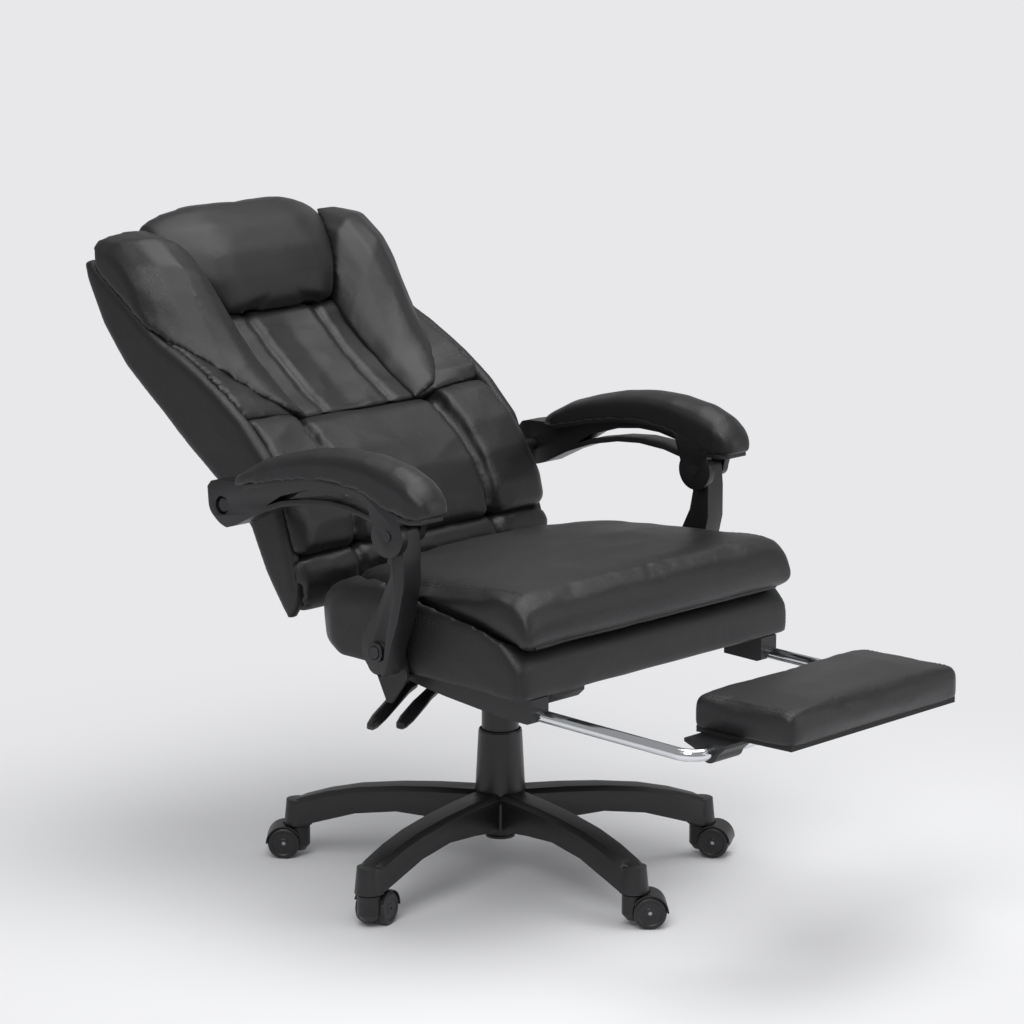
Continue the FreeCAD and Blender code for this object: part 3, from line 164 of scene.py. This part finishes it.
def platedMetal(name, colour, roughness, streakMm):
    # steel, turned or plated: bright, with faint marks along its length
    material, tree, shader = newMaterial(name)
    coords = objectCoords(tree)
    marks = addNode(tree, "ShaderNodeTexNoise", None, {"Vector": coords, "Scale": 1000 / streakMm, "Detail": 3.0})
    shader.inputs["Base Color"].default_value = toLinear(colour)
    shader.inputs["Metallic"].default_value = 1.0
    rough = addNode(tree, "ShaderNodeMapRange", None,
                    {"Value": marks.outputs["Fac"], "From Min": 0.3, "From Max": 0.7,
                     "To Min": roughness, "To Max": roughness + 0.08})
    tree.links.new(rough.outputs["Result"], shader.inputs["Roughness"])
    return material


def birchPlywood(name):
    # birch plywood stained black: long soft figure, matt
    material, tree, shader = newMaterial(name)
    coords = objectCoords(tree)
    stretched = addNode(tree, "ShaderNodeMapping", None, {"Vector": coords, "Scale": (2.0, 30.0, 30.0)})
    figure = addNode(tree, "ShaderNodeTexNoise", None, {"Vector": stretched.outputs["Vector"], "Scale": 4.0, "Detail": 4.0})
    tree.links.new(mixColours(tree, figure.outputs["Fac"], "0c0c0d", "121213"), shader.inputs["Base Color"])
    shader.inputs["Roughness"].default_value = 0.7
    return material


def sewingThread(name, colour):
    # polyester sewing thread: a matt twist, slightly paler than the leather
    material, tree, shader = newMaterial(name)
    twist = addNode(tree, "ShaderNodeTexNoise", None, {"Vector": objectCoords(tree), "Scale": 1500.0})
    tree.links.new(mixColours(tree, twist.outputs["Fac"], colour, "3c3c41"), shader.inputs["Base Color"])
    shader.inputs["Roughness"].default_value = 0.75
    return material


print("materials")
leather = bondedLeather("bonded leather", leatherLook)
# a darker copy of the same leather for the seat box, back shell and back sides: its darker colours are painted shade
# for faces that sit in shadow, and its higher roughness is a duller finish
paintedShadeLook = {**leatherLook, "dark": "0c0c0e", "light": "131315", "roughness": 0.42}
paintedShadeLeather = bondedLeather("bonded leather, painted shade for box and shell", paintedShadeLook)
nylon = mouldedPlastic("glass-filled nylon, moulded", "121214", "1a1a1c", 0.4, 0.9, 0.5)
coverPlastic = mouldedPlastic("polypropylene, moulded", "141416", "1c1c1e", 0.36, 0.7, 0.3)
wheelNylon = mouldedPlastic("nylon wheel, moulded", "141416", "1e1e20", 0.4, 1.1, 0.35)
armPlastic = mouldedPlastic("nylon armrest, moulded", "121214", "1b1b1d", 0.36, 0.8, 0.35)
leverGloss = mouldedPlastic("ABS lever, polished", "161617", "222224", 0.16, 3.0, 0.1)
blackSteel = mouldedPlastic("powder-coated steel", "131315", "1a1a1c", 0.5, 0.6, 0.6)
chrome = platedMetal("chromium-plated steel tube", "d9dbde", 0.06, 14.0)
brightSteel = platedMetal("zinc-plated steel", "a9abae", 0.28, 5.0)
plywood = birchPlywood("birch plywood, stained black")
darkSteel = mouldedPlastic("blackened steel bolt heads", "161618", "202022", 0.35, 1.2, 0.2)
thread = sewingThread("polyester thread", "1c1c20")

slotMaterials = {
    "nylon": nylon, "cover_plastic": coverPlastic, "wheel": wheelNylon, "steel": brightSteel,
    "black_steel": blackSteel, "dark_steel": darkSteel, "chrome_tube": chrome, "lever": leverGloss,
    "arm_plastic": armPlastic, "plywood": plywood, "leather": leather,
}
nodeSlots = {part["node"]: part["material_slot"] for part in frame["record"]["subparts"]}


def setMaterial(obj, material):
    obj.data.materials.clear()
    obj.data.materials.append(material)


def smoothByAngle(obj, degrees=32):
    # shades the round faces smooth and keeps the moulded edges sharp
    mesh = obj.data
    bm = bmesh.new()
    bm.from_mesh(mesh)
    bmesh.ops.remove_doubles(bm, verts=bm.verts, dist=0.00001)
    limit = math.radians(degrees)
    for edge in bm.edges:
        if len(edge.link_faces) == 2:
            edge.smooth = edge.calc_face_angle(0.0) < limit
    for face in bm.faces:
        face.smooth = True
    bm.to_mesh(mesh)
    bm.free()


def copyNode(name, newName):
    # a merged copy of a CAD node, riding on the same body
    obj = bpy.data.objects.new(newName, nodes[name].data.copy())
    collection.objects.link(obj)
    bm = bmesh.new()
    bm.from_mesh(obj.data)
    bmesh.ops.remove_doubles(bm, verts=bm.verts, dist=0.00002)
    bm.to_mesh(obj.data)
    bm.free()
    return obj


def applyModifiers(obj):
    graph = bpy.context.evaluated_depsgraph_get()
    mesh = bpy.data.meshes.new_from_object(obj.evaluated_get(graph))
    obj.modifiers.clear()
    old = obj.data
    obj.data = mesh
    bpy.data.meshes.remove(old)


# The leather pieces, with how each is filled out: metres, but for the last column, the give of its padding

softPieces = {
    # name: voxel, inset, cloth pressure, most it may move, folds per metre, fold depth, fill
    "seat_cushion": (0.0075, 0.003, 4.0, 0.0055, 7.0, 0.0016, 0.8),
    "seat_box": (0.006, -0.0005, 0.0, 0.0, 9.0, 0.0006, 0.6),
    "lumbar_roll": (0.005, -0.0022, 0.0, 0.0, 14.0, 0.002, 0.75),
    "middle_cushion": (0.0055, -0.0025, 0.0, 0.0, 10.0, 0.0018, 0.8),
    "upper_cushion": (0.0055, -0.0025, 0.0, 0.0, 11.0, 0.002, 0.8),
    "wing_right": (0.005, -0.0012, 0.0, 0.0, 9.0, 0.0012, 0.75),
    "wing_left": (0.005, -0.0012, 0.0, 0.0, 9.0, 0.0012, 0.75),
    "head_pillow": (0.0075, 0.002, 4.0, 0.006, 7.0, 0.0006, 0.85),
    "back_side_right": (0.005, -0.0006, 0.0, 0.0, 8.0, 0.0006, 0.5),
    "back_side_left": (0.005, -0.0006, 0.0, 0.0, 8.0, 0.0006, 0.5),
    "back_shell": (0.006, -0.0006, 0.0, 0.0, 8.0, 0.0006, 0.5),
    "footrest_pad": (0.006, 0.0008, 2.0, 0.003, 10.0, 0.0003, 0.8),
    "arm_pad_right": (0.004, -0.0003, 0.0, 0.0, 12.0, 0.0004, 0.85),
    "arm_pad_left": (0.004, -0.0003, 0.0, 0.0, 12.0, 0.0004, 0.85),
}

# Hard parts: the moulded and turned pieces get rounded edges and their finish

mouldedEdges = {"width": 0.0018, "segments": 3, "angle": 30}
edgeWidths = {
    "star_base": 0.0035, "arm_beam_right": 0.0022, "arm_beam_left": 0.0022, "arm_post_right": 0.004,
    "arm_post_left": 0.004, "mechanism_housing": 0.003, "lift_lever": 0.0015, "recline_lever": 0.0015,
}


def roundedCopy(name, width):
    obj = copyNode(name, name + "_moulded")
    bm = bmesh.new()
    bm.from_mesh(obj.data)
    bmesh.ops.dissolve_limit(bm, angle_limit=math.radians(1.0), verts=bm.verts, edges=bm.edges)
    bm.to_mesh(obj.data)
    bm.free()
    bevel = obj.modifiers.new("edges", "BEVEL")
    bevel.width = width
    bevel.segments = mouldedEdges["segments"]
    bevel.limit_method = "ANGLE"
    bevel.angle_limit = math.radians(mouldedEdges["angle"])
    bevel.harden_normals = False
    applyModifiers(obj)
    smoothByAngle(obj, 40)
    setMaterial(obj, slotMaterials[nodeSlots[name]])
    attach(obj, bodyOfNode(name))
    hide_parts(name)
    return obj


for name, obj in nodes.items():
    if name in softPieces:
        continue
    setMaterial(obj, slotMaterials[nodeSlots[name]])
    if name in edgeWidths:
        roundedCopy(name, edgeWidths[name])
    else:
        for polygon in obj.data.polygons:
            polygon.use_smooth = False
print("hard parts")

# Leather pieces: each starts from its solid, is filled out, and gets its creases


def remeshed(name, newName, voxel, inset):
    # a closed, evenly meshed copy of the solid, drawn in by inset before it is filled out
    obj = copyNode(name, newName)
    remesh = obj.modifiers.new("even", "REMESH")
    remesh.mode = "VOXEL"
    remesh.voxel_size = voxel
    remesh.use_smooth_shade = True
    applyModifiers(obj)
    bm = bmesh.new()
    bm.from_mesh(obj.data)
    for _ in range(3):
        bmesh.ops.smooth_vert(bm, verts=bm.verts, factor=0.5, use_axis_x=True, use_axis_y=True, use_axis_z=True)
    bm.normal_update()
    for vert in bm.verts:
        vert.co -= vert.normal * inset
    bm.to_mesh(obj.data)
    bm.free()
    return obj


clothLook = {"frames": 14, "quality": 3, "stretch": 25.0, "bend": 2.0}


def inflated(obj, pressure, cap):
    # cloth under pressure, each point held within cap of where it began
    before = [v.co.copy() for v in obj.data.vertices]
    cloth = obj.modifiers.new("fill", "CLOTH")
    cloth.settings.use_pressure = True
    cloth.settings.uniform_pressure_force = pressure
    cloth.settings.quality = clothLook["quality"]
    cloth.settings.tension_stiffness = clothLook["stretch"]
    cloth.settings.compression_stiffness = clothLook["stretch"]
    cloth.settings.bending_stiffness = clothLook["bend"]
    cloth.settings.effector_weights.gravity = 0.0
    cloth.collision_settings.use_collision = False
    scene = bpy.context.scene
    scene.frame_start = 1
    scene.frame_end = clothLook["frames"]
    for frameNumber in range(1, clothLook["frames"] + 1):
        scene.frame_set(frameNumber)
    applyModifiers(obj)
    scene.frame_set(1)
    for vert, start in zip(obj.data.vertices, before):
        move = vert.co - start
        if move.length > cap:
            vert.co = start + move.normalized() * cap


def placesAndNormals(obj):
    # read before any point moves, because each move makes the mesh work out its normals again
    return [(vert.co.copy(), vert.normal.copy()) for vert in obj.data.vertices]


def gatherAlong(obj, lines, reach, depth):
    # pulls the leather in beside each seam, with small puckers that fade away from it
    for vert, (co, normal) in zip(obj.data.vertices, placesAndNormals(obj)):
        pull = 0.0
        for line in lines:
            distance = line(co)
            if distance < reach:
                share = 1.0 - distance / reach
                pucker = 0.35 * noise.noise(co * 55.0) * share * (1.0 - share) * 4.0
                pull = max(pull, share * share * (3.0 - 2.0 * share) + pucker)
        if pull > 0.0:
            vert.co = co - normal * (pull * depth)


def wrinkle(obj, scale, depth, stretch, seed):
    # long shallow folds, as leather over foam shows when it has been sat on
    for vert, (co, normal) in zip(obj.data.vertices, placesAndNormals(obj)):
        place = Vector((co.x * stretch[0], co.y * stretch[1], co.z * stretch[2])) * scale + Vector((seed, seed, seed))
        fold = 1.0 - abs(noise.noise(place)) * 2.2
        vert.co = co + normal * (fold - 0.55) * depth


def finishSoft(obj, name, material):
    for polygon in obj.data.polygons:
        polygon.use_smooth = True
    subdivide = obj.modifiers.new("smooth", "SUBSURF")
    subdivide.levels = 1
    subdivide.render_levels = 1
    applyModifiers(obj)
    setMaterial(obj, material)
    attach(obj, bodyOfNode(name))
    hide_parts(name)
    return obj


def acrossX(offset):
    # a channel at a fixed distance either side of the middle
    return lambda co: abs(abs(co.x) - offset)


channelLines = {
    # name: seam lines, reach and depth of the gather beside them
    "middle_cushion": ([acrossX(0.146)], 0.016, 0.0075),
    "upper_cushion": ([acrossX(0.072)], 0.014, 0.006),
    "lumbar_roll": ([acrossX(0.151)], 0.014, 0.006),
}

# the seat box, back shell and back sides take the darker leather, whose colours are painted shade
dullPaintedShadePieces = ("seat_box", "back_shell", "back_side_right", "back_side_left")
foldStretch = (1.0, 1.6, 1.6)
softObjects = {}
for name, (voxel, inset, pressure, cap, foldScale, foldDepth, fill) in softPieces.items():
    obj = remeshed(name, name + "_leather", voxel, inset)
    if pressure > 0:
        inflated(obj, pressure, cap)
    if name in channelLines:
        lines, reach, depth = channelLines[name]
        gatherAlong(obj, lines, reach, depth)
    wrinkle(obj, foldScale, foldDepth, foldStretch, seed=len(name) * 1.7)
    material = paintedShadeLeather if name in dullPaintedShadePieces else leather
    softObjects[name] = finishSoft(obj, name, material)
    print("soft", name, len(obj.data.vertices))

# Stitches: short threads laid on the leather along the sewn lines

stitchLook = {"length": 0.0034, "gap": 0.0018, "radius": 0.00042, "jump": 0.05}


def surfacePoint(obj, start, direction):
    hit, place, normal, _ = obj.ray_cast(start, direction)
    return (place, normal) if hit else (None, None)


def stitchRow(name, onPiece, points, body):
    # points are places above the leather with a way down to it; the row follows what it hits
    target = softObjects[onPiece]
    seats = []
    for place, direction in points:
        found, normal = surfacePoint(target, Vector(place), Vector(direction))
        if found is not None and (not seats or (found - seats[-1][0]).length < stitchLook["jump"]):
            seats.append((found, normal))
    length = stitchLook["length"]
    radius = stitchLook["radius"]
    step = length + stitchLook["gap"]
    bm = bmesh.new()
    carried = 0.0
    for (a, normal), (b, _) in zip(seats, seats[1:]):
        along = b - a
        distance = along.length
        if distance < 1e-6:
            continue
        heading = along / distance
        while carried + length < distance:
            middle = a + heading * (carried + length / 2) + normal * radius * 0.5
            turn = heading.to_track_quat("Z", "Y").to_matrix().to_4x4()
            bmesh.ops.create_cone(bm, cap_ends=True, segments=6, radius1=radius, radius2=radius, depth=length,
                                  matrix=Matrix.Translation(middle) @ turn)
            carried += step
        carried = max(carried - distance, 0.0)
    mesh = bpy.data.meshes.new(name)
    bm.to_mesh(mesh)
    bm.free()
    obj = bpy.data.objects.new(name, mesh)
    collection.objects.link(obj)
    setMaterial(obj, thread)
    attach(obj, body)
    return obj


def between(a, b, count):
    return [Vector(a).lerp(Vector(b), i / (count - 1)) for i in range(count)]


# The ways in to the leather: down the slope of each part of the back, from above, from the side and the front
intoMiddle = (0.0, 0.85, -0.53)
intoUpper = (0.0, 0.62, -0.78)
downward = (0.0, 0.0, -1.0)
rearward = (0.0, 1.0, 0.0)

seamRows = [
    # seam, piece, body, x and how it shifts between the two rows, the ends in (y, z), z shift, points, way in
    ("middle_seam", "middle_cushion", "back", 0.1395, 0.013, (0.05, 0.56), (0.21, 0.76), 0.0, 60, intoMiddle),
    ("upper_seam", "upper_cushion", "back", 0.0668, 0.0104, (0.24, 0.74), (0.43, 0.87), 0.0, 60, intoUpper),
    ("box_top_seam", "seat_box", "seat", 0.36, 0.0, (-0.296, 0.432), (-0.05, 0.492), -0.005, 60, None),
    ("seat_edge_seam", "seat_cushion", "seat", 0.272, -0.005, (-0.29, 0.60), (0.02, 0.60), 0.0, 70, downward),
    ("box_corner_seam", "seat_box", "seat", 0.294, 0.005, (-0.40, 0.38), (-0.40, 0.43), 0.0, 6, rearward),
    ("footrest_edge_seam", "footrest_pad", "footrest", 0.186, -0.005, (-0.70, 0.50), (-0.545, 0.50), 0.0, 40, downward),
]

for side, tag in ((-1, "right"), (1, "left")):
    for seam, piece, body, x, shiftX, start, end, shiftZ, count, wayIn in seamRows:
        for second in (0, 1):
            across = side * (x + shiftX * second)
            ends = [Vector((across, y, z + shiftZ * second)) for y, z in (start, end)]
            row = [(place, wayIn or (-side, 0.0, 0.0)) for place in between(*ends, count)]
            stitchRow("%s_%s_%d" % (seam, tag, second), piece, row, body)
print("stitching")

# Piping: a thin leather roll under the nose of the seat cushion

pipingLook = {"radius": 0.0026, "sunk": 0.3, "y": -0.42, "z": 0.4505, "half": 0.27, "points": 60}


def piping(name, onPiece, points, body):
    target = softObjects[onPiece]
    radius = pipingLook["radius"]
    places = []
    for place, direction in points:
        found, normal = surfacePoint(target, Vector(place), Vector(direction))
        if found is not None:
            places.append(found - normal * radius * pipingLook["sunk"])
    curve = bpy.data.curves.new(name, "CURVE")
    curve.dimensions = "3D"
    curve.bevel_depth = radius
    curve.bevel_resolution = 2
    spline = curve.splines.new("POLY")
    spline.points.add(len(places) - 1)
    for point, place in zip(spline.points, places):
        point.co = (*place, 1.0)
    source = bpy.data.objects.new(name, curve)
    collection.objects.link(source)
    graph = bpy.context.evaluated_depsgraph_get()
    mesh = bpy.data.meshes.new_from_object(source.evaluated_get(graph))
    bpy.data.objects.remove(source)
    obj = bpy.data.objects.new(name, mesh)
    collection.objects.link(obj)
    for polygon in mesh.polygons:
        polygon.use_smooth = True
    setMaterial(obj, leather)
    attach(obj, body)
    return obj


noseEnds = [(half, pipingLook["y"], pipingLook["z"]) for half in (-pipingLook["half"], pipingLook["half"])]
noseRow = [(place, rearward) for place in between(*noseEnds, pipingLook["points"])]
piping("seat_nose_piping", "seat_cushion", noseRow, "seat")
print("piping")

# Stage: a pale seamless floor and backdrop with soft light

stageLook = {
    "paper": "e9e9eb", "even": "e8e8ea", "floorSize": 60.0,
    "shadowReach": 0.55, "evenFrom": 1.5,
    "fill": "f2f3f4", "fillStrength": 0.42,
}

bm = bmesh.new()
bmesh.ops.create_grid(bm, x_segments=1, y_segments=1, size=stageLook["floorSize"] / 2)
floorMesh = bpy.data.meshes.new("floor")
bm.to_mesh(floorMesh)
bm.free()
floor = bpy.data.objects.new("floor", floorMesh)
collection.objects.link(floor)
paper, paperTree, paperShader = newMaterial("paper backdrop")
paperShader.inputs["Base Color"].default_value = toLinear(stageLook["paper"])
paperShader.inputs["Roughness"].default_value = 0.9
paperShader.inputs["Specular IOR Level"].default_value = 0.1
# beyond the chair's shadow the camera sees the paper at one even level
place = addNode(paperTree, "ShaderNodeTexCoord").outputs["Object"]
reach = addNode(paperTree, "ShaderNodeVectorMath", {"operation": "LENGTH"}, {0: place})
edge = addNode(paperTree, "ShaderNodeMapRange", {"interpolation_type": "SMOOTHSTEP"},
               {"Value": reach.outputs["Value"], "From Min": stageLook["shadowReach"],
                "From Max": stageLook["evenFrom"]})
paperRays = addNode(paperTree, "ShaderNodeLightPath")
share = addNode(paperTree, "ShaderNodeMath", {"operation": "MULTIPLY"},
                {0: edge.outputs["Result"], 1: paperRays.outputs["Is Camera Ray"]})
even = addNode(paperTree, "ShaderNodeEmission", None, {"Color": toLinear(stageLook["even"]), "Strength": 1.0})
paperMix = addNode(paperTree, "ShaderNodeMixShader", None,
                   {0: share.outputs["Value"], 1: paperShader.outputs["BSDF"], 2: even.outputs["Emission"]})
paperTree.links.new(paperMix.outputs["Shader"], paperTree.nodes["Material Output"].inputs["Surface"])
setMaterial(floor, paper)

world = bpy.data.worlds.new("studio")
bpy.context.scene.world = world
world.use_nodes = True
worldTree = world.node_tree
worldTree.nodes.clear()
rays = addNode(worldTree, "ShaderNodeLightPath")
shown = addNode(worldTree, "ShaderNodeBackground", None, {"Color": toLinear(stageLook["even"]), "Strength": 1.0})
fill = addNode(worldTree, "ShaderNodeBackground", None,
               {"Color": toLinear(stageLook["fill"]), "Strength": stageLook["fillStrength"]})
blendNode = addNode(worldTree, "ShaderNodeMixShader", None,
                    {0: rays.outputs["Is Camera Ray"], 1: fill.outputs["Background"], 2: shown.outputs["Background"]})
addNode(worldTree, "ShaderNodeOutputWorld", None, {"Surface": blendNode.outputs["Shader"]})

lampLook = [
    # name, place, size, watts
    ("key softbox", (-2.6, -1.6, 3.4), 2.4, 84.0),
    ("top softbox", (0.6, -0.4, 4.0), 3.0, 92.0),
    ("front fill", (1.8, -3.8, 1.6), 2.6, 30.0),
]
for lampName, place, size, watts in lampLook:
    lamp = bpy.data.lights.new(lampName, "AREA")
    lamp.shape = "SQUARE"
    lamp.size = size
    lamp.energy = watts
    lampObject = bpy.data.objects.new(lampName, lamp)
    lampObject.location = place
    lampObject.rotation_mode = "QUATERNION"
    lampObject.rotation_quaternion = (Vector((0.0, 0.0, 0.5)) - Vector(place)).to_track_quat("-Z", "Y")
    collection.objects.link(lampObject)

# Camera: where the photograph was taken from

cameraLook = {"place": (-4.1435, -3.8041, 1.6994), "target": (0.02641, 0.0, 0.5586), "lens": 134.68}
cameraData = bpy.data.cameras.new("photo camera")
cameraData.lens = cameraLook["lens"]
cameraData.sensor_width = 36.0
cameraData.clip_end = 200.0
camera = bpy.data.objects.new("photo camera", cameraData)
collection.objects.link(camera)
camera.location = cameraLook["place"]
camera.rotation_mode = "QUATERNION"
camera.rotation_quaternion = (Vector(cameraLook["target"]) - Vector(cameraLook["place"])).to_track_quat("-Z", "Y")
bpy.context.scene.camera = camera
bpy.context.scene.view_settings.view_transform = "Standard"
print("stage, lights and camera")
